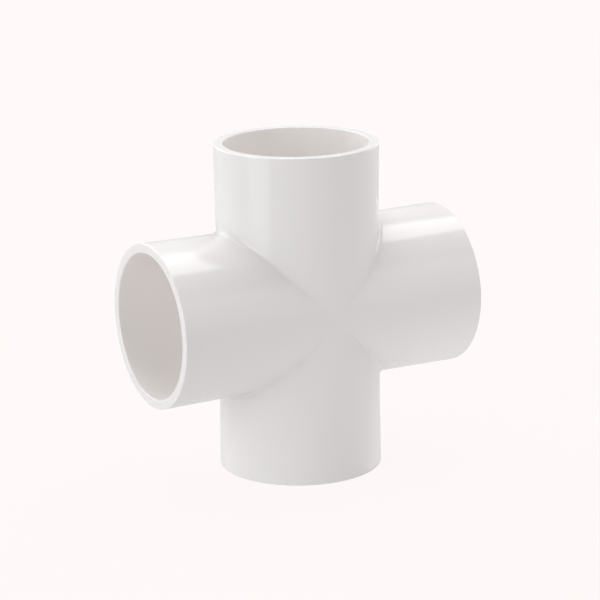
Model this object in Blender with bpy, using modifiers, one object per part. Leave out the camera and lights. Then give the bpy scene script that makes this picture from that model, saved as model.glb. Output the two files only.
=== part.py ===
"""Equal cross for 50 mm solvent-cemented plastic pressure pipe.

The whole fitting is one hollow moulding: two plain tubes crossing at right angles in one plane, with a
soft blend along the four creases where they meet, and a slip socket in each of the four mouths.

Run with: blender --background --python part.py
Units are metres and +Z is up. The two runs cross at the origin. One lies along Z, the other along X,
and Y is square to the plane that holds them both.
"""

import math

import bmesh
import bpy
from mathutils import Matrix

# ---- Driving dimensions: each is set here and nowhere else ----
PIPE_DIAMETER = 0.0500      # outside diameter of the pipe that the sockets take
MOUTH_PLAY = 0.0003         # socket bore over pipe, on diameter, at the mouth
ROOT_PLAY = 0.0001          # the same at the pipe stop: the socket tapers to a close fit
WALL = 0.00335              # wall of a socket at its mouth
OUTSIDE_DRAFT = 0.00025     # how much narrower, on radius, the outside is at the creases than at the rims
SOCKET_DEPTH = 0.0310       # rim to pipe stop
STOP_ALLOWANCE = 0.0015     # how far the pipe stops lie beyond the pipe's radius from the centre
STOP_LEDGE = 0.0020         # width of the ledge that a pipe's end butts against
CREASE_RADIUS = 0.0020      # blend along the outside creases
WATERWAY_ROUND = 0.0008     # round along the creases of the waterway
RIM_ROUND = 0.0004          # round on the outer edge of each rim
LEAD_IN = 0.0005            # chamfer on the inner edge of each rim

# ---- Sizes that follow from them ----
MOUTH_BORE_RADIUS = (PIPE_DIAMETER + MOUTH_PLAY) / 2
ROOT_BORE_RADIUS = (PIPE_DIAMETER + ROOT_PLAY) / 2
WATERWAY_RADIUS = ROOT_BORE_RADIUS - STOP_LEDGE
MOUTH_RADIUS = MOUTH_BORE_RADIUS + WALL
BODY_RADIUS = MOUTH_RADIUS - OUTSIDE_DRAFT
STOP_FROM_CENTRE = PIPE_DIAMETER / 2 + STOP_ALLOWANCE
RIM_FROM_CENTRE = STOP_FROM_CENTRE + SOCKET_DEPTH
CREASE_END = BODY_RADIUS + CREASE_RADIUS     # where the blend has run out on each arm

# ---- Fineness and margins ----
SIDES = 64                  # facets round a tube: a multiple of 4, so that the two runs meet point to point
RIM_STEPS = 3               # facets across the round of a rim
BLEND_STEPS = 4             # facets across a crease blend
CUT_PAST = 0.0010           # how far the cutter stands out of each mouth
WELD = 1e-6                 # points nearer than this are the same point
SHARP_ANGLE = math.radians(35)

PLASTIC_WHITE = (0.84, 0.835, 0.83, 1.0)


def clear_scene():
    """Removes whatever the file opened with."""
    for obj in list(bpy.data.objects):
        bpy.data.objects.remove(obj, do_unlink=True)


def new_collection(name):
    collection = bpy.data.collections.new(name)
    bpy.context.scene.collection.children.link(collection)
    return collection


def plastic():
    """Glossy white unplasticised PVC."""
    material = bpy.data.materials.new("white_pvc")
    material.use_nodes = True
    shader = material.node_tree.nodes["Principled BSDF"]
    shader.inputs["Base Color"].default_value = PLASTIC_WHITE
    shader.inputs["Roughness"].default_value = 0.3
    shader.inputs["Metallic"].default_value = 0.0
    material.diffuse_color = PLASTIC_WHITE
    return material


def mirrored(upper):
    """A full profile from its upper half: the same points again, upside down, on the way back."""
    return upper + [(radius, -height) for radius, height in reversed(upper)]


def outside_profile():
    """Half-section of one run's outside, as (radius, height), from the top of the axis to its bottom."""
    quarter = math.pi / 2
    turns = [quarter * step / RIM_STEPS for step in range(RIM_STEPS + 1)]
    rim = [
        (
            MOUTH_RADIUS - RIM_ROUND * (1 - math.sin(turn)),
            RIM_FROM_CENTRE - RIM_ROUND * (1 - math.cos(turn)),
        )
        for turn in turns
    ]
    return mirrored([(0.0, RIM_FROM_CENTRE)] + rim + [(BODY_RADIUS, CREASE_END)])


def inside_profile():
    """Half-section of one run's hollow: lead-in, tapered socket, pipe stop and waterway."""
    return mirrored(
        [
            (0.0, RIM_FROM_CENTRE + CUT_PAST),
            (MOUTH_BORE_RADIUS + LEAD_IN + CUT_PAST, RIM_FROM_CENTRE + CUT_PAST),
            (MOUTH_BORE_RADIUS, RIM_FROM_CENTRE - LEAD_IN),
            (ROOT_BORE_RADIUS, STOP_FROM_CENTRE),
            (WATERWAY_RADIUS, STOP_FROM_CENTRE),
        ]
    )


def turned(name, profile, collection):
    """A solid of revolution about Z, by a Screw on a profile that lies at +X."""
    points = [(radius, 0.0, height) for radius, height in profile]
    links = [(i, i + 1) for i in range(len(points) - 1)]
    mesh = bpy.data.meshes.new(name)
    mesh.from_pydata(points, links, [])
    obj = bpy.data.objects.new(name, mesh)
    collection.objects.link(obj)
    screw = obj.modifiers.new("turn", "SCREW")
    screw.axis = "Z"
    screw.steps = SIDES
    screw.render_steps = SIDES
    screw.use_merge_vertices = True
    screw.merge_threshold = WELD
    return obj


def combine(obj, other, operation):
    """Adds an exact Boolean of obj with other, which becomes a helper that isn't rendered."""
    boolean = obj.modifiers.new(operation.lower(), "BOOLEAN")
    boolean.operation = operation
    boolean.solver = "EXACT"
    boolean.object = other
    other.hide_render = True
    other.display_type = "WIRE"


def settled_mesh(obj, name):
    """The object's mesh with its modifiers applied."""
    bpy.context.view_layer.update()
    graph = bpy.context.evaluated_depsgraph_get()
    mesh = bpy.data.meshes.new_from_object(obj.evaluated_get(graph))
    mesh.name = name
    return mesh


def weigh_creases(mesh):
    """Gives each crease edge the bevel weight that makes the blend's radius the same all along it.

    A crease lies where the two runs meet, on the planes x = z and x = -z. Its faces turn through 90
    degrees at the outermost point and through nothing at the front and back, so a blend of constant
    radius reaches back from the edge by radius * tan(turn / 2).
    """
    work = bmesh.new()
    work.from_mesh(mesh)
    bmesh.ops.remove_doubles(work, verts=work.verts, dist=WELD)
    weight = work.edges.layers.float.new("bevel_weight_edge")
    for edge in work.edges:
        on_crease = all(abs(abs(v.co.x) - abs(v.co.z)) < WELD for v in edge.verts)
        if on_crease and edge.is_manifold:
            edge[weight] = math.tan(edge.calc_face_angle() / 2)
    work.to_mesh(mesh)
    work.free()


def crossed_runs(name, profile, blend, collection, helpers):
    """Two equal turned runs crossing at right angles, joined, with their creases blended."""
    upright = turned(name + "_upright", profile, helpers)
    level = turned(name + "_level", profile, helpers)
    level.matrix_world = Matrix.Rotation(math.pi / 2, 4, "Y")
    combine(upright, level, "UNION")
    mesh = settled_mesh(upright, name)
    bpy.data.objects.remove(upright)
    bpy.data.objects.remove(level)
    weigh_creases(mesh)
    obj = bpy.data.objects.new(name, mesh)
    collection.objects.link(obj)
    bevel = obj.modifiers.new("crease blend", "BEVEL")
    bevel.limit_method = "WEIGHT"
    bevel.width = blend
    bevel.segments = BLEND_STEPS
    bevel.use_clamp_overlap = False
    return obj


def make_cross(parts, cutters):
    """The moulding: the outside of two crossed runs, less the hollow of two crossed runs."""
    body = crossed_runs("cross_body", outside_profile(), CREASE_RADIUS, parts, cutters)
    hollow = crossed_runs("hollow_cutter", inside_profile(), WATERWAY_ROUND, cutters, cutters)
    combine(body, hollow, "DIFFERENCE")
    body.data.materials.clear()
    body.data.materials.append(plastic())
    body.data.shade_smooth()
    body.data.set_sharp_from_angle(angle=SHARP_ANGLE)


clear_scene()
make_cross(new_collection("cross_fitting"), new_collection("cutters"))
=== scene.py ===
# %% [markdown]
# # An equal cross for plastic pressure pipe
#
# The real object is one injection moulding in glossy white PVC. Two plain tubes cross at right angles in one
# plane, the creases between them are softly blended, and each of the four mouths is a smooth socket that a
# pipe is cemented into. A shape this plain has nothing to hide behind: it looks real when every edge is
# rounded by the right amount, the blends run out where they should, and the gloss reflects a clean studio.
#
# The solid model is loaded first. It settles every size, so nothing below is placed by eye.

# %% The frame: the solid model, with its sizes and its body
import math

import bmesh
import bpy
import numpy as np
from mathutils import Matrix, Vector


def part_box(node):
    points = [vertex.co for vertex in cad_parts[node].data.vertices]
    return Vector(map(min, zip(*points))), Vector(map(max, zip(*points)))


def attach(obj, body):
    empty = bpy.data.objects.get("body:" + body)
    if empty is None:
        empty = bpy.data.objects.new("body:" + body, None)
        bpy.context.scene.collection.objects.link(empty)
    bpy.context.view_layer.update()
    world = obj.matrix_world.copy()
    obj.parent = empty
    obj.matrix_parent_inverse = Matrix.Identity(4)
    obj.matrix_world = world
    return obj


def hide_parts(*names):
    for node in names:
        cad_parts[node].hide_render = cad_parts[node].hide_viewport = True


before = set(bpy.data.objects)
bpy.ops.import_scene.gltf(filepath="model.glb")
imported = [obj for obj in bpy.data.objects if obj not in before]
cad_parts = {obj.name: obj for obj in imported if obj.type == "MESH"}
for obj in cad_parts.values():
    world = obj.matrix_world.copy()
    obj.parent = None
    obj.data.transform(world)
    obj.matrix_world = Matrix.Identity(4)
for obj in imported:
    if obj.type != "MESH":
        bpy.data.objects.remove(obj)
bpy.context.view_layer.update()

MM = 0.001
low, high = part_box("cross_body")
print("solid model, lowest and highest corner in mm:", np.round(np.array([low, high]) / MM, 2).tolist())

# %% [markdown]
# ## Sizes read from the solid
#
# A visual mesh that repeats sizes by hand drifts away from its solid as soon as one of them changes. Here
# they are measured on the solid instead. Each arm was turned from a profile, so its points lie on rings. The
# levels of the rings are the heights where the profile turns a corner, and on each level the nearest and
# furthest point from the arm's axis are the two sides of the wall there.

# %% The rings of points along the upper arm
SAME_PLACE = 0.01 * MM      # points closer than this count as one level
FEWEST_IN_A_RING = 100

solid_points = np.array([point.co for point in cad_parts["cross_body"].data.vertices])
off_axis = np.hypot(solid_points[:, 0], solid_points[:, 1])
points_on_arm = solid_points[off_axis < high[1] + SAME_PLACE]
heights, how_many = np.unique(np.round(points_on_arm[:, 2] / MM, 2), return_counts=True)
ring_levels = heights[(how_many > FEWEST_IN_A_RING) & (heights > 0)] * MM
print("rings at these heights in mm:", np.round(ring_levels / MM, 2).tolist())


def radii_on_level(height):
    """Least and greatest distance from the arm's axis among the solid's points at this height."""
    level = points_on_arm[np.abs(points_on_arm[:, 2] - height) < SAME_PLACE]
    distance = np.hypot(level[:, 0], level[:, 1])
    return float(distance.min()), float(distance.max())


# %% Radii and levels that the surfaces below are built on
# The levels come in this order up the arm. The last is the rim, and any before it lie within its rounds.
STOP, CREASE_END, BORE_TOP, ROUND_FOOT, RIM = (float(ring_levels[i]) for i in (0, 1, 2, 3, -1))
WATERWAY, SOCKET_ROOT = radii_on_level(STOP)
BODY = radii_on_level(CREASE_END)[1]
SOCKET_MOUTH = radii_on_level(BORE_TOP)[0]
OUTSIDE = radii_on_level(ROUND_FOOT)[1]
BLEND = CREASE_END - BODY
MOUTH_ROUND = RIM - BORE_TOP
RIM_ROUND = RIM - ROUND_FOOT
sizes = {
    "waterway radius": WATERWAY,
    "socket radius at the stop": SOCKET_ROOT,
    "socket radius at the mouth": SOCKET_MOUTH,
    "body radius by the creases": BODY,
    "outside radius at the rims": OUTSIDE,
    "crease blend": BLEND,
    "round on a rim's outer edge": RIM_ROUND,
    "round on a mouth's edge": MOUTH_ROUND,
}
for name, size in sizes.items():
    print(f"{name}: {size / MM:.2f} mm")

# %% [markdown]
# ## One arm as a sheet carried from crease to crease
#
# A boolean of two tubes with a bevel gives this shape in a few clicks, but it leaves long thin faces that
# shade badly under gloss. Here each point of the surface comes from a formula, so the grid is even and the
# blends are exact.
#
# One arm is a single sheet. Its columns are angles round the arm. Its rows run from the bottom of the outside
# crease, up the outside wall, over the rim, down the socket, across the pipe stop, and along the waterway to
# the crease inside. Four copies, turned about Y, meet along the creases and close into one shell.
#
# The blend is what a ball leaves when it rolls in the corner between the two tubes and touches both. Its
# centre stays one ball radius off both tubes, which puts it on the planes x = z and x = -z, and the part of
# the ball that faces the corner is the surface.

# %% Columns: angles round an arm, closer together where small marks will be
EVEN_COLUMNS = 192
FLASH_STEPS = np.array([0.05, 0.1, 0.15, 0.22, 0.32]) * MM      # across the mould's parting line
GATE_STEPS = np.arange(0.3, 3.1, 0.3) * MM                      # across the gate mark on the back
CLOSEST = 0.02 * MM                                             # of two columns to each other


def angles_round_arm():
    """Even steps round the circle, plus close ones about the sides, the front and the back."""
    even = np.arange(EVEN_COLUMNS) * 2 * math.pi / EVEN_COLUMNS
    sides = np.concatenate([-FLASH_STEPS, FLASH_STEPS]) / BODY
    faces = np.concatenate([-GATE_STEPS, GATE_STEPS]) / BODY
    extra = [sides, sides + math.pi, faces + math.pi / 2, faces - math.pi / 2]
    every = np.sort(np.concatenate([even] + extra) % (2 * math.pi))
    return every[np.diff(every, append=every[0] + 2 * math.pi) > CLOSEST / BODY]


angles = angles_round_arm()
UP = np.array([0.0, 0.0, 1.0])
outwards = np.stack([np.cos(angles), np.sin(angles), 0 * angles], axis=1)      # away from the arm's axis
print(f"{len(angles)} columns, at most {np.degrees(np.diff(angles).max()):.2f} degrees apart")

# %% Rows: distances along the sheet
BLEND_STEP = 0.16 * MM
BLEND_ROWS = 12
STEP_GROWTH = 1.4           # power by which the steps grow past the blend
NEAR_EDGE = 0.006           # share of a wall between its last two rows, which keeps the shading flat there


def distances_from_crease(length, rows):
    """Distances from the crease to the far edge of a wall: one row of them, with a column for each length.

    The first few are a fixed step apart, so that they follow the blend however long the column is. The rest
    share out what is left with steps that grow, and one more row lies close to the far edge.
    """
    first = np.arange(BLEND_ROWS + 1) * BLEND_STEP
    rest = np.append((np.arange(1, rows) / rows) ** STEP_GROWTH, [1 - NEAR_EDGE, 1])
    near = np.broadcast_to(first[:, None], (len(first), len(length)))
    far = first[-1] + (length - first[-1]) * rest[:, None]
    return np.concatenate([near, far])


# %% A wall with its crease: part ball, part tube
OUTSIDE_ROWS = 16
DRAFT_EASE = 1.5            # power by which the outside widens up the arm
NO_LESS = 1e-9              # keeps a direction of no length from being divided by nothing


def wall_from_crease(radius, ball, top, rows, widening):
    """The side of a tube from the bottom of its crease up to a level, as rows of points.

    For a column at angle a, the ball's centre is (radius + ball) times (cos a, sin a, |cos a|). It touches
    this tube in the direction n = (cos a, sin a, 0) and the crossing tube in the direction m = (0, sin a,
    |cos a|). A row at distance s that is still on the ball lies in the direction half way between n and m,
    turned towards n by the angle s / ball. A row past the ball is on the tube, which may widen with height.
    """
    crossing = np.stack([0 * angles, np.sin(angles), np.abs(np.cos(angles))], axis=1)
    touch = (radius + ball) * np.abs(np.cos(angles))
    centre = (radius + ball) * outwards + touch[:, None] * UP
    half_turn = np.arccos(np.clip((outwards * crossing).sum(axis=1), -1, 1)) / 2
    distance = distances_from_crease(ball * half_turn + top - touch, rows)

    middle = outwards + crossing
    middle /= np.linalg.norm(middle, axis=1)[:, None]
    sideways = outwards - (outwards * middle).sum(axis=1)[:, None] * middle
    sideways /= np.maximum(np.linalg.norm(sideways, axis=1), NO_LESS)[:, None]
    turn = np.minimum(distance / ball, half_turn)[..., None]
    on_ball = centre - ball * (np.cos(turn) * middle + np.sin(turn) * sideways)

    height = touch + np.maximum(distance - ball * half_turn, 0)
    on_tube = (radius + widening(height))[..., None] * outwards + height[..., None] * UP
    return np.where((distance < ball * half_turn)[..., None], on_ball, on_tube)


def draft(height):
    """How far the outside has widened at a height.

    It is the full amount times the share of the way from the crease to the rim, raised to a power.
    """
    share = np.clip((height - CREASE_END) / (ROUND_FOOT - CREASE_END), 0, 1)
    return (OUTSIDE - BODY) * share ** DRAFT_EASE


outside_wall = wall_from_crease(BODY, BLEND, ROUND_FOOT, OUTSIDE_ROWS, draft)
print("outside wall:", outside_wall.shape[0], "rows")

# %% [markdown]
# ## The rim, the socket and the pipe stop
#
# Everything from the rim to the waterway is turned, so it is one profile carried round the arm. A real
# moulding has no sharp edge anywhere: the mould's own edges are slightly broken, and a rim catches a thin
# line of light because of it. Each corner of the profile is therefore a quarter round.

# %% Pieces of a profile, as (radius, height) points
QUARTER_STEPS = 6


def quarter(radius, height, size, start):
    """A quarter round about a centre, turning 90 degrees from a start angle: 0 faces outwards, 90 the mouth.

    A point at angle a is the centre plus size times (cos a, sin a). The first point is left out, because the
    stretch before it ends there.
    """
    turn = np.radians(start + 90 * np.arange(1, QUARTER_STEPS + 1) / QUARTER_STEPS)
    return np.stack([radius + size * np.cos(turn), height + size * np.sin(turn)], axis=1)


def stretch(start, end, rows):
    """A straight stretch of the profile, without its first point, and with rows close to both of its ends."""
    shares = np.concatenate([[2 * NEAR_EDGE], np.arange(1, rows) / rows, [1 - 2 * NEAR_EDGE, 1]])
    return np.array(start) + (np.array(end) - np.array(start)) * shares[:, None]


print(f"a quarter round has {QUARTER_STEPS} steps")

# %% The profile from the rim to the waterway
RIM_ROWS, SOCKET_ROWS, LEDGE_ROWS = 3, 10, 2
STOP_ROUND = 0.3 * MM       # at the foot of the socket, and on the lip of the pipe stop
SOCKET_FOOT = STOP + STOP_ROUND
LIP_FOOT = STOP - STOP_ROUND

rim_outer = quarter(OUTSIDE - RIM_ROUND, ROUND_FOOT, RIM_ROUND, 0)
rim_flat = stretch((OUTSIDE - RIM_ROUND, RIM), (SOCKET_MOUTH + MOUTH_ROUND, RIM), RIM_ROWS)
rim_inner = quarter(SOCKET_MOUTH + MOUTH_ROUND, BORE_TOP, MOUTH_ROUND, 90)
socket_wall = stretch((SOCKET_MOUTH, BORE_TOP), (SOCKET_ROOT, SOCKET_FOOT), SOCKET_ROWS)
# This corner is hollow, so it turns the other way, from facing outwards to facing the centre.
foot = quarter(SOCKET_ROOT - STOP_ROUND, SOCKET_FOOT, STOP_ROUND, -90)[::-1]
foot = np.concatenate([foot[1:], [(SOCKET_ROOT - STOP_ROUND, STOP)]])
ledge = stretch((SOCKET_ROOT - STOP_ROUND, STOP), (WATERWAY + STOP_ROUND, STOP), LEDGE_ROWS)
lip = quarter(WATERWAY + STOP_ROUND, LIP_FOOT, STOP_ROUND, 90)
turned_parts = (rim_outer, rim_flat, rim_inner, socket_wall, foot, ledge, lip)
print(f"the profile has {sum(len(part) for part in turned_parts)} points")

# %% The whole sheet of one arm
def carried_round(profile):
    """A profile turned about the arm's axis: a point (r, h) goes r along the outward direction and h up."""
    return profile[:, 0, None, None] * outwards + profile[:, 1, None, None] * UP


def no_draft(height):
    """The waterway is as wide all along: nothing is added at any height."""
    return 0 * height


WATERWAY_BLEND = 0.8 * MM   # along the creases inside
WATERWAY_ROWS = 5
# The sheet goes down this wall, so its rows are turned about. The first of them is already the lip's last.
waterway_wall = wall_from_crease(WATERWAY, WATERWAY_BLEND, LIP_FOOT, WATERWAY_ROWS, no_draft)[::-1][1:]
FINISHES = ("outside", "rim", "socket", "waterway")
sheets = [
    ("outside", outside_wall),
    ("rim", carried_round(np.concatenate([rim_outer, rim_flat, rim_inner]))),
    ("socket", carried_round(np.concatenate([socket_wall, foot]))),
    ("waterway", carried_round(np.concatenate([ledge, lip]))),
    ("waterway", waterway_wall),
]
arm = np.concatenate([points for _, points in sheets])
finish_of_row = np.concatenate([np.full(len(points), FINISHES.index(name)) for name, points in sheets])
print(f"one arm: {arm.shape[0]} rows of {arm.shape[1]} points")

# %% Four arms, each a quarter turn from the last
def four_arms(points):
    """The arm turned about Y by 0, 90, 180 and 270 degrees, each of which only swaps and negates x and z."""
    x, y, z = points[..., 0], points[..., 1], points[..., 2]
    turned = [(x, y, z), (z, y, -x), (-x, y, -z), (-z, y, x)]
    return np.stack([np.stack(axes, axis=-1) for axes in turned])


def quad_corners(rows, columns):
    """The row and the column of each face's four corners, turning left seen from outside.

    The last faces of a row end in a column one past the last, which is the first column come round again.
    """
    row, column = np.mgrid[: rows - 1, :columns]
    corner_row = np.stack([row, row, row + 1, row + 1], axis=-1)
    corner_column = np.stack([column, column + 1, column + 1, column], axis=-1)
    return corner_row.reshape(-1, 4), corner_column.reshape(-1, 4)


def new_mesh(name, points, faces):
    """A mesh from whole arrays of points and four-sided faces."""
    mesh = bpy.data.meshes.new(name)
    mesh.vertices.add(len(points))
    mesh.vertices.foreach_set("co", points.astype(np.float32).ravel())
    mesh.loops.add(faces.size)
    mesh.loops.foreach_set("vertex_index", faces.astype(np.int32).ravel())
    mesh.polygons.add(len(faces))
    mesh.polygons.foreach_set("loop_start", np.arange(0, faces.size, 4, dtype=np.int32))
    mesh.update(calc_edges=True)
    return mesh


rows, columns = arm.shape[:2]
corner_row, corner_column = quad_corners(rows, columns)
arm_faces = corner_row * columns + corner_column % columns
all_faces = np.concatenate([arm_faces + k * rows * columns for k in range(4)])
moulding_mesh = new_mesh("cross_moulding", four_arms(arm).reshape(-1, 3), all_faces)
face_finish = np.tile(finish_of_row[corner_row[:, 3]], 4)
moulding_mesh.polygons.foreach_set("material_index", face_finish.astype(np.int32))
print(len(moulding_mesh.polygons), "faces before the seams are closed")

# %% [markdown]
# ## What the finishes need to know about the surface
#
# Some marks follow the shape and not space: drag lines run along a socket and turning marks run round a rim,
# on all four arms alike. So each corner of each face keeps its place on the arm before the arm was turned.
# It is kept on corners and not on points, because a point on a crease belongs to two arms at once.
#
# A map for baking is laid out in the same way. Each arm's sheet is a rectangle, angle across and distance
# along, so the four fill a square with no cuts where a cut would show.

# %% Place on the arm, and a map
GUTTER = 0.01               # share of the map left free round each sheet
MAP_QUARTERS = [(0, 0), (1, 0), (0, 1), (1, 1)]

place_on_arm = np.tile(arm[corner_row, corner_column % columns], (4, 1, 1))
placed = moulding_mesh.attributes.new("place_on_arm", "FLOAT_VECTOR", "CORNER")
placed.data.foreach_set("vector", place_on_arm.astype(np.float32).ravel())

front_column = np.abs(angles - math.pi / 2).argmin()
row_steps = np.linalg.norm(np.diff(arm[:, front_column], axis=0), axis=1)
row_share = np.append(0, np.cumsum(row_steps)) / row_steps.sum()
column_share = np.append(angles - angles[0], 2 * math.pi) / (2 * math.pi)
sheet_map = np.stack([column_share[corner_column], row_share[corner_row]], axis=-1)
inset_map = GUTTER + (1 - 2 * GUTTER) * sheet_map
full_map = np.concatenate([(inset_map + quarter_at) / 2 for quarter_at in MAP_QUARTERS])
bake_map = moulding_mesh.uv_layers.new(name="OFBake")
bake_map.uv.foreach_set("vector", full_map.astype(np.float32).ravel())
print(f"the map runs from {full_map.min():.3f} to {full_map.max():.3f}")

# %% The seams closed
WELD = 0.001 * MM           # points of two arms that lie this close are joined


def welded(mesh):
    """Joins the points that two arms have in the same place along a crease, and counts what is left open."""
    shell = bmesh.new()
    shell.from_mesh(mesh)
    bmesh.ops.remove_doubles(shell, verts=shell.verts, dist=WELD)
    shell.to_mesh(mesh)
    open_edges = sum(not edge.is_manifold for edge in shell.edges)
    volume = shell.calc_volume(signed=True)
    shell.free()
    return open_edges, volume


open_edges, volume = welded(moulding_mesh)
moulding_mesh.shade_smooth()
print(f"{open_edges} open edges, {volume / MM ** 3 / 1000:.1f} cm3, so the faces point outwards")

# %% [markdown]
# ## The marks that a mould leaves
#
# The two halves of the mould close on the plane y = 0 and leave a hair-thin raised line there. The plastic
# came in through a gate in the middle of the back, where a small disc was trimmed almost flush. Inside, four
# cores met along the creases and left a faint line. The skin is also never perfectly true: it shrinks a
# little as it cools, which is what makes a long highlight waver. Modelled as shape and not as bump, these
# marks break the outline and the highlights as the real ones do. Each is a height along the surface's normal.

# %% Where each point lies on its arm
MID_WALL = (SOCKET_MOUTH + OUTSIDE) / 2

points = np.empty((len(moulding_mesh.vertices), 3), dtype=np.float32)
normals = np.empty_like(points)
moulding_mesh.vertices.foreach_get("co", points.ravel())
moulding_mesh.vertex_normals.foreach_get("vector", normals.ravel())
x, y, z = points.astype(float).T
along = np.maximum(np.abs(x), np.abs(z))            # distance from the centre, along the arm
beside = np.minimum(np.abs(x), np.abs(z))           # distance from the arm's axis, in the cross's plane
radius = np.hypot(beside, y)
is_outside = radius > MID_WALL
from_crease = (along - beside) / math.sqrt(2)       # distance from the planes where two arms meet


def hump(distance, width):
    """A bell shape, e to the minus (distance over width) squared: 1 at no distance, a third at the width."""
    return np.exp(-((distance / width) ** 2))


def eased(start, end, value):
    """Rises from 0 at the start to 1 at the end without a corner at either: 3t squared minus 2t cubed."""
    t = np.clip((value - start) / (end - start), 0, 1)
    return t * t * (3 - 2 * t)


print(f"{is_outside.sum()} points outside, {(~is_outside).sum()} inside")

# %% Sizes of the marks
FLASH_HEIGHT, FLASH_WIDTH, FLASH_FADE = 0.035 * MM, 0.12 * MM, 0.3 * MM
FLASH_MEAN, FLASH_SWING, FLASH_WAVE = 0.6, 0.4, 5.0 * MM        # the line is fainter in some places
GATE_HEIGHT, GATE_RADIUS, GATE_SOFT = 0.12 * MM, 1.6 * MM, 0.35 * MM
PIT_DEPTH, PIT_RADIUS = 0.07 * MM, 0.45 * MM
CORE_LINE_HEIGHT, CORE_LINE_WIDTH = 0.03 * MM, 0.12 * MM
SHRINK, SHRINK_FADE = 0.012 * MM, 4 * MM
print(f"parting line {FLASH_HEIGHT / MM:.3f} mm high, gate mark {GATE_HEIGHT / MM:.2f} mm")


# %% Heights of the marks
def waver(first, second):
    """Slow unevenness between 0 and 1, from two distances along the surface.

    It is a half, plus half the mean of three sines. Two of them run along one distance and are bent by a
    longer wave along the other, and the third runs along the sum of both.
    """
    waves = np.sin(first / (4.1 * MM) + 1.3 * np.sin(second / (9.0 * MM)))
    waves += np.sin(second / (3.3 * MM) + 2.1 * np.sin(first / (11.0 * MM)))
    waves += np.sin((first + second) / (6.7 * MM) + 0.7)
    return 0.5 + waves / 6


flash = FLASH_HEIGHT * hump(y, FLASH_WIDTH) * is_outside * eased(ROUND_FOOT, ROUND_FOOT - FLASH_FADE, along)
flash *= FLASH_MEAN + FLASH_SWING * np.sin(along / FLASH_WAVE + np.sign(x + z))
from_gate = np.hypot(x, z)
gate = GATE_HEIGHT * eased(GATE_RADIUS + GATE_SOFT, GATE_RADIUS, from_gate)
gate -= PIT_DEPTH * hump(from_gate, PIT_RADIUS)
gate *= is_outside & (y > 0)
core_line = CORE_LINE_HEIGHT * hump(from_crease, CORE_LINE_WIDTH) * ~is_outside * (along < STOP)
shrink = -SHRINK * waver(along, np.arctan2(y, beside) * BODY) * eased(RIM, RIM - SHRINK_FADE, along)

heights = flash + gate + core_line + shrink
points += (heights[:, None] * normals).astype(np.float32)
moulding_mesh.vertices.foreach_set("co", points.ravel())
moulding_mesh.update()
for name, mark in {"flash": flash, "gate": gate, "core line": core_line, "shrink": shrink}.items():
    print(f"{name}: from {mark.min() / MM:.3f} to {mark.max() / MM:.3f} mm")

# %% Masks on the points: 1 on a rim's edge, for a painted highlight, or in a nook, falling to 0 away from it
EDGE_REACH, NOOK_REACH, FOOT_REACH = 0.4 * MM, 1.8 * MM, 0.8 * MM


def store_mask(name, values):
    """Keeps one number a point on the moulding."""
    mask = moulding_mesh.attributes.new(name, "FLOAT", "POINT")
    mask.data.foreach_set("value", values.astype(np.float32))
    print(f"{name}: mean {values.mean():.3f}")


# The rims' edges: where this mask is 1, the white is lifted as a painted highlight.
near_corner = np.maximum(hump(radius - OUTSIDE, EDGE_REACH), hump(radius - SOCKET_MOUTH, EDGE_REACH))
store_mask("painted_edge_highlight", near_corner * hump(RIM - along, EDGE_REACH))
# The nooks are the creases outside and the foot of each socket. There the white is greyed in patches, which
# darkens them, and dulled.
in_crease = hump(from_crease, NOOK_REACH) * is_outside * eased(0, BODY / 2, beside)
at_foot = hump(along - SOCKET_FOOT, FOOT_REACH) * ~is_outside
store_mask("nook", np.maximum(in_crease, at_foot))

# %% [markdown]
# ## The finish of moulded PVC
#
# Rigid PVC for fittings is a dense white, faintly warm, and it takes the polish of the steel it is moulded
# against. The outside comes from a polished cavity and is glossy. The sockets come from cores that are pulled
# straight out, which draws hair lines along them. The rims come from turned shoulders. The waterway is the
# least polished. So there is one plastic with four skins, and two effects that all of them share:
#
# - a skin: how rough it is, a slow ripple, and fine lines along one direction
# - the white itself: slow clouds of pigment, a painted highlight on the rims' edges, and grey patches that
#   darken the creases and the feet of the sockets
#
# Each is a node group, built once and placed in each material with its own numbers.
#
# Rigid PVC also lets a little light through a wall this thin. Scattering it inside the wall gives noise and
# takes long to render, so the light is painted in: the inside has a lighter, warmer white than the outside.

# %% Helpers that add nodes
def add(tree, kind, inputs=(), **settings):
    """A new node. Its inputs are (name or number, value) pairs, and a value may be another node's socket."""
    node = tree.nodes.new(kind)
    for name, value in settings.items():
        setattr(node, name, value)
    for name, value in inputs:
        if isinstance(value, bpy.types.NodeSocket):
            tree.links.new(value, node.inputs[name])
        else:
            node.inputs[name].default_value = value
    return node


def maths(tree, operation, first, second=0.5, third=0.5):
    """The result of a Math node on up to three values."""
    return add(tree, "ShaderNodeMath", [(0, first), (1, second), (2, third)], operation=operation).outputs[0]


FLOAT, VECTOR, COLOUR = "NodeSocketFloat", "NodeSocketVector", "NodeSocketColor"


def noise(tree, place, scale, detail, roughness=0.5):
    """A noise between 0 and 1 whose grains are about 1 / scale metres across."""
    inputs = [("Vector", place), ("Scale", scale), ("Detail", detail), ("Roughness", roughness)]
    return add(tree, "ShaderNodeTexNoise", inputs).outputs["Fac"]


def new_group(name, inputs, outputs):
    """An empty node group with named sockets, given as (name, kind, default) and (name, kind)."""
    tree = bpy.data.node_groups.new(name, "ShaderNodeTree")
    for socket, kind, default in inputs:
        tree.interface.new_socket(socket, in_out="INPUT", socket_type=kind).default_value = default
    for socket, kind in outputs:
        tree.interface.new_socket(socket, in_out="OUTPUT", socket_type=kind)
    return tree, tree.nodes.new("NodeGroupInput").outputs, tree.nodes.new("NodeGroupOutput")


# %% Helpers that mix
MIX_FACTOR = 0
MIX_LEVELS, MIX_LEVEL_OUT = (2, 3), 0           # a Mix node's sockets for numbers, by their places on it
MIX_COLOURS, MIX_COLOUR_OUT = (6, 7), 2         # and those for colours


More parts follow.
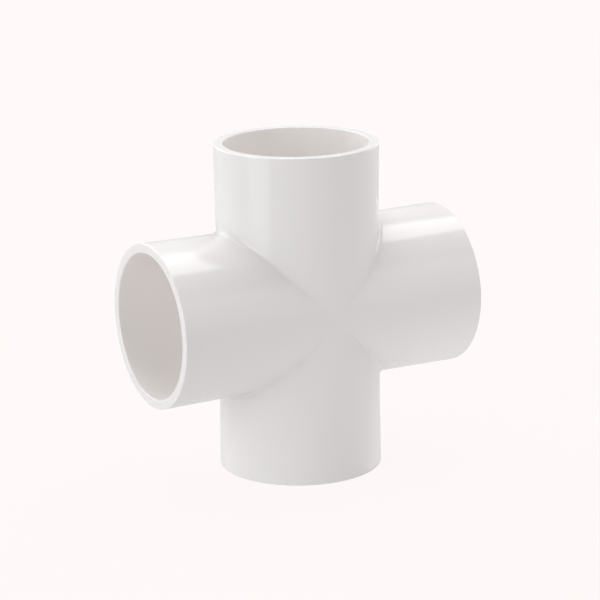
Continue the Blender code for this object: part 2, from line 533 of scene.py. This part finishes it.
def mixed_colour(tree, factor, first, second):
    """The first colour where the factor is 0, and the second where it is 1."""
    inputs = [(MIX_FACTOR, factor), (MIX_COLOURS[0], first), (MIX_COLOURS[1], second)]
    return add(tree, "ShaderNodeMix", inputs, data_type="RGBA").outputs[MIX_COLOUR_OUT]


def mixed_level(tree, factor, first, second):
    """The first number where the factor is 0, and the second where it is 1."""
    inputs = [(MIX_FACTOR, factor), (MIX_LEVELS[0], first), (MIX_LEVELS[1], second)]
    return add(tree, "ShaderNodeMix", inputs).outputs[MIX_LEVEL_OUT]


def smooth_step(tree, value, start, end):
    """0 up to the start and 1 from the end on, with a soft rise between."""
    inputs = [("Value", value), ("From Min", start), ("From Max", end)]
    return add(tree, "ShaderNodeMapRange", inputs, interpolation_type="SMOOTHSTEP").outputs["Result"]


print("helpers ready, with", len(bpy.data.node_groups), "node groups so far")

# %% The skin: roughness and height
RIPPLE_GRAIN, FINE_GRAIN, HAZE_GRAIN = 260, 1500, 70            # grains to the metre


def make_skin_group():
    """Roughness and height from four noises, each between 0 and 1.

    Roughness is its base, plus the haze's amount times the sum of three noises less a half each: slow haze,
    fine grain and the lines. Height, in micrometres, is the ripple and the lines, each times its own amount.
    """
    tree, given, result = new_group(
        "moulded_skin",
        [
            ("Place", VECTOR, (0, 0, 0)),
            ("Roughness", FLOAT, 0.22),
            ("Haze", FLOAT, 0.05),
            ("Ripple", FLOAT, 2.0),
            ("Lines", FLOAT, 0.5),
            ("Line Scale", VECTOR, (5000, 5000, 60)),
        ],
        [("Roughness", FLOAT), ("Height", FLOAT)],
    )
    ripple = noise(tree, given["Place"], RIPPLE_GRAIN, detail=1)
    fine = noise(tree, given["Place"], FINE_GRAIN, detail=2)
    haze = noise(tree, given["Place"], HAZE_GRAIN, detail=4, roughness=0.6)
    place_and_scale = [(0, given["Place"]), (1, given["Line Scale"])]
    stretched = add(tree, "ShaderNodeVectorMath", place_and_scale, operation="MULTIPLY").outputs[0]
    lines = noise(tree, stretched, 1, detail=2)
    rough = given["Roughness"]
    for grain in (haze, fine, lines):
        spread = maths(tree, "MULTIPLY", maths(tree, "SUBTRACT", grain, 0.5), given["Haze"])
        rough = maths(tree, "ADD", rough, spread)
    height = maths(tree, "MULTIPLY", ripple, given["Ripple"])
    height = maths(tree, "MULTIPLY_ADD", lines, given["Lines"], height)
    tree.links.new(rough, result.inputs["Roughness"])
    tree.links.new(height, result.inputs["Height"])
    return tree


skin_group = make_skin_group()
print(skin_group.name, len(skin_group.nodes), "nodes")

# %% The white: pigment, a painted highlight on edges, and grey patches in the nooks
# grey mixed in, in patches, which darkens the nooks
NOOK_GREY = (0.42, 0.39, 0.35, 1)
CLOUD_GRAIN, NOOK_GRAIN = 45, 400               # grains to the metre
# how much the white is lifted on the rims' edges, as a painted highlight
EDGE_HIGHLIGHT_LIFT = 0.03
NOOK_PATCH_CONTRAST, NOOK_PATCH_CUT = 1.6, -0.3             # turn the noise into patches with bare places between


def make_white_group():
    """A white and how dull it is.

    The white is multiplied by a level near 1, which follows slow clouds and rises on the rims' edges as a
    painted highlight. Then it is mixed with grey in patches in the nooks, which darkens the creases and the
    feet of the sockets, and the share of grey is put out as dullness.
    """
    tree, given, result = new_group(
        "moulded_white",
        [
            ("Place", VECTOR, (0, 0, 0)),
            ("White", COLOUR, (0.8, 0.8, 0.8, 1)),
            ("Clouds", FLOAT, 0.02),
            ("Painted Edge Highlight", FLOAT, 0),
            ("Nook", FLOAT, 0),
            ("Nook Grey", FLOAT, 0.05),
        ],
        [("Colour", COLOUR), ("Dull", FLOAT)],
    )
    clouds = maths(tree, "SUBTRACT", noise(tree, given["Place"], CLOUD_GRAIN, detail=3), 0.5)
    level = maths(tree, "MULTIPLY_ADD", clouds, given["Clouds"], 1.0)
    level = maths(tree, "MULTIPLY_ADD", given["Painted Edge Highlight"], EDGE_HIGHLIGHT_LIFT, level)
    scaled = add(tree, "ShaderNodeVectorMath", [(0, given["White"]), ("Scale", level)], operation="SCALE")
    # the nooks are greyed in patches, which darkens them
    grains = noise(tree, given["Place"], NOOK_GRAIN, detail=4)
    patches = maths(tree, "MULTIPLY_ADD", grains, NOOK_PATCH_CONTRAST, NOOK_PATCH_CUT)
    nook_patches = maths(tree, "MULTIPLY", maths(tree, "MAXIMUM", patches, 0.0), given["Nook"])
    grey_share = maths(tree, "MULTIPLY", nook_patches, given["Nook Grey"])
    greyed = mixed_colour(tree, grey_share, scaled.outputs[0], NOOK_GREY)
    tree.links.new(greyed, result.inputs["Colour"])
    tree.links.new(grey_share, result.inputs["Dull"])
    return tree


white_group = make_white_group()
print(white_group.name, len(white_group.nodes), "nodes")

# %% How a skin becomes a material
PVC_IOR = 1.53
NOOK_DARKENING = 0.1                          # share of grey where the patches in the nooks are thickest
MICROMETRE = 1e-6


def turned_place(tree, place):
    """The place as (distance from the arm's axis, 0, height), on which lines run round the arm as if turned.

    The distance is the root of x squared plus y squared.
    """
    parts = add(tree, "ShaderNodeSeparateXYZ", [(0, place)]).outputs
    squares = maths(tree, "MULTIPLY_ADD", parts[1], parts[1], maths(tree, "MULTIPLY", parts[0], parts[0]))
    return add(tree, "ShaderNodeCombineXYZ", [(0, maths(tree, "SQRT", squares)), (2, parts[2])]).outputs[0]


def plastic(name, white, line_scale, roughness, haze, ripple, lines, turned=False):
    """One skin of the moulding: both groups placed in it, feeding a Principled shader."""
    material = bpy.data.materials.new(name)
    material.use_nodes = True
    tree = material.node_tree
    shader = tree.nodes["Principled BSDF"]
    place = add(tree, "ShaderNodeAttribute", attribute_name="place_on_arm").outputs["Vector"]
    solid_place = add(tree, "ShaderNodeTexCoord").outputs["Object"]
    skin_place = turned_place(tree, place) if turned else place
    skin = add(tree, "ShaderNodeGroup", node_tree=skin_group)
    for socket, value in {"Roughness": roughness, "Haze": haze, "Ripple": ripple, "Lines": lines}.items():
        skin.inputs[socket].default_value = value
    skin.inputs["Line Scale"].default_value = line_scale
    tree.links.new(skin_place, skin.inputs["Place"])
    colour = add(tree, "ShaderNodeGroup", node_tree=white_group)
    colour.inputs["White"].default_value = white
    colour.inputs["Nook Grey"].default_value = NOOK_DARKENING
    tree.links.new(solid_place, colour.inputs["Place"])
    for mask_name, socket in {"painted_edge_highlight": "Painted Edge Highlight", "nook": "Nook"}.items():
        mask = add(tree, "ShaderNodeAttribute", attribute_name=mask_name).outputs["Fac"]
        tree.links.new(mask, colour.inputs[socket])
    rough = maths(tree, "ADD", skin.outputs["Roughness"], colour.outputs["Dull"])
    bump = add(tree, "ShaderNodeBump", [("Height", skin.outputs["Height"]), ("Distance", MICROMETRE)])
    tree.links.new(colour.outputs["Colour"], shader.inputs["Base Color"])
    tree.links.new(rough, shader.inputs["Roughness"])
    tree.links.new(bump.outputs[0], shader.inputs["Normal"])
    shader.inputs["IOR"].default_value = PVC_IOR
    return material


print(f"index of refraction {PVC_IOR}")

# %% The four materials: ripple and lines are heights in micrometres
ALONG_ARM = (4500, 4500, 50)                    # lines that run along the arm, a fifth of a millimetre apart
ROUND_ARM = (7000, 1, 1)                        # lines that run round it, once the place is turned
WARM_WHITE = (0.866, 0.846, 0.839, 1)
SOCKET_LIT_WHITE = (0.945, 0.914, 0.897, 1)         # painted light: lighter and warmer, for light that comes through the wall

skins = {
    "outside": plastic(
        "pvc_polished_outside", WARM_WHITE, ALONG_ARM, roughness=0.13, haze=0.04, ripple=3.0, lines=0.4
    ),
    "rim": plastic(
        "pvc_turned_rim", WARM_WHITE, ROUND_ARM, roughness=0.22, haze=0.06, ripple=1.0, lines=0.8, turned=True
    ),
    "socket": plastic(
        "pvc_drawn_socket", SOCKET_LIT_WHITE, ALONG_ARM, roughness=0.20, haze=0.08, ripple=2.0, lines=1.0
    ),
    "waterway": plastic(
        "pvc_dull_waterway", SOCKET_LIT_WHITE, ALONG_ARM, roughness=0.30, haze=0.08, ripple=3.0, lines=1.2
    ),
}
for finish in FINISHES:
    moulding_mesh.materials.append(skins[finish])
print("materials:", [material.name for material in moulding_mesh.materials])

# %% The moulding takes the solid's place
moulding = bpy.data.objects.new("cross_moulding", moulding_mesh)
bpy.context.scene.collection.objects.link(moulding)
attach(moulding, "root")
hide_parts("cross_body")
print("rides on root, stands for cross_body")

# %% [markdown]
# ## The camera
#
# The fitting is seen from a little above and from its left, with a long lens, so its parallel edges stay
# nearly parallel. It stands on the rim of its lower arm.

# %% Camera: an orbit round the centre of the cross
AZIMUTH, ELEVATION, ROLL = math.radians(-28.38), math.radians(15.40), math.radians(-0.89)
DISTANCE = 847.0 * MM
SHIFT_X, SHIFT_Y = 0.0025, 0.0050
LENS, SENSOR = 145.5, 36.0                      # both in millimetres
FAR_CLIP = 50.0

camera_data = bpy.data.cameras.new("studio_camera")
camera_data.lens = LENS
camera_data.sensor_width = SENSOR
camera_data.shift_x, camera_data.shift_y = SHIFT_X, SHIFT_Y
camera_data.clip_end = FAR_CLIP
camera = bpy.data.objects.new("studio_camera", camera_data)
bpy.context.scene.collection.objects.link(camera)
backwards = Vector((
    math.sin(AZIMUTH) * math.cos(ELEVATION), -math.cos(AZIMUTH) * math.cos(ELEVATION), math.sin(ELEVATION)
))
camera.location = backwards * DISTANCE
aimed = backwards.to_track_quat("Z", "Y").to_matrix()
camera.rotation_euler = (aimed @ Matrix.Rotation(ROLL, 3, "Z")).to_euler()
bpy.context.scene.camera = camera
print("camera at", [round(value, 3) for value in camera.location], "m")

# %% [markdown]
# ## The studio
#
# A white thing on a white ground is drawn by its shading and its reflections alone, so the lights are built
# for what each tube mirrors. Gloss shows a softbox as a band with a clear edge, and the band's edge lies
# parallel to a tube when the softbox's edge does.
#
# - overhead: a bank above and behind, in two parts. The front part is bright, and its front edge makes the
#   crisp line along both level arms. The back part is weak, so the tops of the arms fade towards the back.
# - key: a large softbox on the left, with a bright low strip under it that reaches beneath the left arm.
# - back left: lights the far left side, so that the upright's outline stays clear of the backdrop.
# - fill right: large and weak, so that the right side is grey enough to show its form.
# - card low right: behind at the right, for the edge of the right arm that turns away.
# - card left: stands close by on the floor and is seen in the gloss alone. It makes the soft step on the
#   upright, without lighting the underside of the left arm.
# - glow right: a patch of floor that lights the lower side of the right arm and isn't mirrored in it.
#
# Every softbox is hidden from the camera.

# %% Directions as seen from the camera
TOWARD = Vector((backwards.x, backwards.y, 0)).normalized()     # level, from the fitting to the camera
RIGHT = TOWARD.cross(Vector((0, 0, -1)))                        # level, to the camera's right
UPWARD = Vector((0, 0, 1))


def around(azimuth, elevation, distance):
    """A place at a distance: azimuth in degrees from the camera to its right, elevation above the level."""
    turn, rise = math.radians(azimuth), math.radians(elevation)
    level = math.cos(turn) * TOWARD + math.sin(turn) * RIGHT
    return distance * (math.cos(rise) * level + math.sin(rise) * UPWARD)


print("camera's right is", [round(value, 2) for value in RIGHT])

# %% Softboxes
def softbox(name, place, width, height, radiance, aim=None, turn=0.0, tint=(1, 1, 1)):
    """A rectangle of light at a place, as bright all over as its radiance says.

    It faces the fitting, or away from its aim where one is given. Area A and radiance L give out pi times A
    times L watts.
    """
    data = bpy.data.lights.new(name, "AREA")
    data.shape = "RECTANGLE"
    data.size, data.size_y = width, height
    data.energy = math.pi * width * height * radiance
    data.color = tint
    light = bpy.data.objects.new(name, data)
    light.location = place
    facing = (aim or place).to_track_quat("Z", "Y").to_matrix()
    light.rotation_euler = (facing @ Matrix.Rotation(turn, 3, "Z")).to_euler()
    light.visible_camera = False
    bpy.context.scene.collection.objects.link(light)
    print(f"{name}: {width:.2f} x {height:.2f} m, {data.energy:.2f} W")


def standing_card(name, azimuth, far_azimuth, distance, height, radiance):
    """A card that stands on the floor from one azimuth to another, and is seen in the gloss alone."""
    near_end, far_end = (around(angle, 0, distance) for angle in (azimuth, far_azimuth))
    middle = (near_end + far_end) / 2
    place = middle + (low[2] + height / 2) * UPWARD
    softbox(name, place, (near_end - far_end).length, height, radiance, aim=middle)
    bpy.data.objects[name].visible_diffuse = False


print(f"one square metre at a radiance of 1 gives out {math.pi:.2f} W")

# %% The overhead bank
OVERHEAD_HEIGHT = 0.9
BANK_TURN = math.radians(22)                    # of the bank's front edge from the line of the level arms
BANK_EDGE = Vector((0.45, -0.06, OVERHEAD_HEIGHT))
along_bank = Vector((math.cos(BANK_TURN), math.sin(BANK_TURN), 0))
behind_bank = Vector((-math.sin(BANK_TURN), math.cos(BANK_TURN), 0))


def bank(name, left, right, front, back, radiance):
    """Part of the overhead bank, given by its reach along the front edge and behind it."""
    centre = BANK_EDGE + along_bank * (left + right) / 2 + behind_bank * (front + back) / 2
    softbox(name, centre, right - left, back - front, radiance, aim=UPWARD, turn=BANK_TURN)


bank("overhead_front", left=-0.60, right=0.35, front=-0.02, back=0.58, radiance=2.80)
bank("overhead_back", left=-1.00, right=0.35, front=0.58, back=1.10, radiance=0.60)

# %% The lights at the sides
COOL = (0.975, 1.0, 1.01)
BEHIND_RIGHT = -0.45 * TOWARD + 0.45 * RIGHT + 0.05 * UPWARD
RIGHT_FLOOR = 0.04 * TOWARD + 0.15 * RIGHT + (low[2] + 1 * MM) * UPWARD

softbox("key_left", around(-54, 18, 1.2), width=1.0, height=0.9, radiance=1.75, tint=COOL)
softbox("key_low", around(-60, 0, 1.2), width=1.0, height=0.1, radiance=3.9, tint=COOL)
softbox("back_left", around(-135, 34, 1.2), width=0.8, height=0.8, radiance=2.0, tint=COOL)
softbox("fill_right", around(60, 20, 1.4), width=1.4, height=1.0, radiance=0.78)
softbox("card_low_right", BEHIND_RIGHT, width=0.5, height=0.22, radiance=2.3, aim=RIGHT - TOWARD)
standing_card("card_left", azimuth=-36, far_azimuth=-66, distance=0.30, height=0.155, radiance=1.0)
softbox("glow_right", RIGHT_FLOOR, width=0.2, height=0.2, radiance=0.18, aim=-UPWARD)
bpy.data.objects["glow_right"].visible_glossy = False

# %% [markdown]
# ## The floor and the air
#
# A lit white floor is never quite even, so a studio lights one until it burns out. Here the floor and the air
# glow by themselves, in one pale tone. To the camera they are almost white, and to the fitting they are a
# good deal darker, as in a studio whose open side is dark. The floor scatters light only near the fitting,
# where it carries a faint shadow. Further off it only glows, at the level of the air, so that no horizon
# shows from low down.

# %% Floor
BACKDROP = (1.0, 0.956, 0.947, 1)               # the pale tone that the camera sees
FILL_TINT = (1.0, 0.978, 0.976, 1)              # the same tone, as it lights the fitting
FLOOR_SEEN, FLOOR_LIT = 0.955, 0.72             # glow of the floor to the camera, and to everything else
FLOOR_WHITE = (0.035, 0.034, 0.033, 1)          # the little that it scatters carries a faint shadow
FLOOR_NEAR, FLOOR_FAR = 0.3, 1.0                # it scatters within the first, and only glows past the second
AIR_SEEN = 1.0                                  # glow of the air to the camera, and of the floor far off
FLOOR_HALF = 4.0
BLACK = (0, 0, 0, 1)

pale_floor = bpy.data.materials.new("pale_floor")
pale_floor.use_nodes = True
tree = pale_floor.node_tree
to_camera = add(tree, "ShaderNodeLightPath").outputs["Is Camera Ray"]
floor_place = add(tree, "ShaderNodeTexCoord").outputs["Object"]
from_middle = add(tree, "ShaderNodeVectorMath", [(0, floor_place)], operation="LENGTH").outputs["Value"]
far = smooth_step(tree, from_middle, FLOOR_NEAR, FLOOR_FAR)
shader = tree.nodes["Principled BSDF"]
shader.inputs["Roughness"].default_value = 1.0
shader.inputs["Specular IOR Level"].default_value = 0.0
tree.links.new(mixed_colour(tree, far, FLOOR_WHITE, BLACK), shader.inputs["Base Color"])
tree.links.new(mixed_colour(tree, to_camera, FILL_TINT, BACKDROP), shader.inputs["Emission Color"])
glow = mixed_level(tree, to_camera, FLOOR_LIT, mixed_level(tree, far, FLOOR_SEEN, AIR_SEEN))
tree.links.new(glow, shader.inputs["Emission Strength"])

floor_corners = FLOOR_HALF * np.array([(-1, -1, 0), (1, -1, 0), (1, 1, 0), (-1, 1, 0)]) + low[2] * UP
floor_mesh = new_mesh("studio_floor", floor_corners, np.array([[0, 1, 2, 3]]))
floor_mesh.materials.append(pale_floor)
floor = bpy.data.objects.new("studio_floor", floor_mesh)
bpy.context.scene.collection.objects.link(floor)
print(f"floor at {low[2] / MM:.1f} mm, {2 * FLOOR_HALF:.0f} m across")

# %% Air: dim in front, brighter behind, and the floor's tone to the camera
AIR_LEVEL, AIR_BEHIND = 0.29, 0.29              # in front, and what is added behind
BEHIND_START, BEHIND_END = -0.2, 0.8            # cosine of the angle from straight back, over the rise

air = bpy.data.worlds.new("studio_air")
air.use_nodes = True
tree = air.node_tree
direction = add(tree, "ShaderNodeTexCoord").outputs["Generated"]
backward_part = add(tree, "ShaderNodeVectorMath", [(0, direction), (1, -TOWARD)], operation="DOT_PRODUCT")
behind = smooth_step(tree, backward_part.outputs["Value"], BEHIND_START, BEHIND_END)
lit = maths(tree, "MULTIPLY_ADD", behind, AIR_BEHIND, AIR_LEVEL)
to_camera = add(tree, "ShaderNodeLightPath").outputs["Is Camera Ray"]
background = tree.nodes["Background"]
tree.links.new(mixed_colour(tree, to_camera, FILL_TINT, BACKDROP), background.inputs["Color"])
tree.links.new(mixed_level(tree, to_camera, lit, AIR_SEEN), background.inputs["Strength"])
bpy.context.scene.world = air
print("air:", AIR_LEVEL, "in front,", AIR_LEVEL + AIR_BEHIND, "behind")

# %% The view: white stays white, because no film curve pulls the backdrop down to grey
bpy.context.scene.view_settings.view_transform = "Standard"
print("view:", bpy.context.scene.view_settings.view_transform)
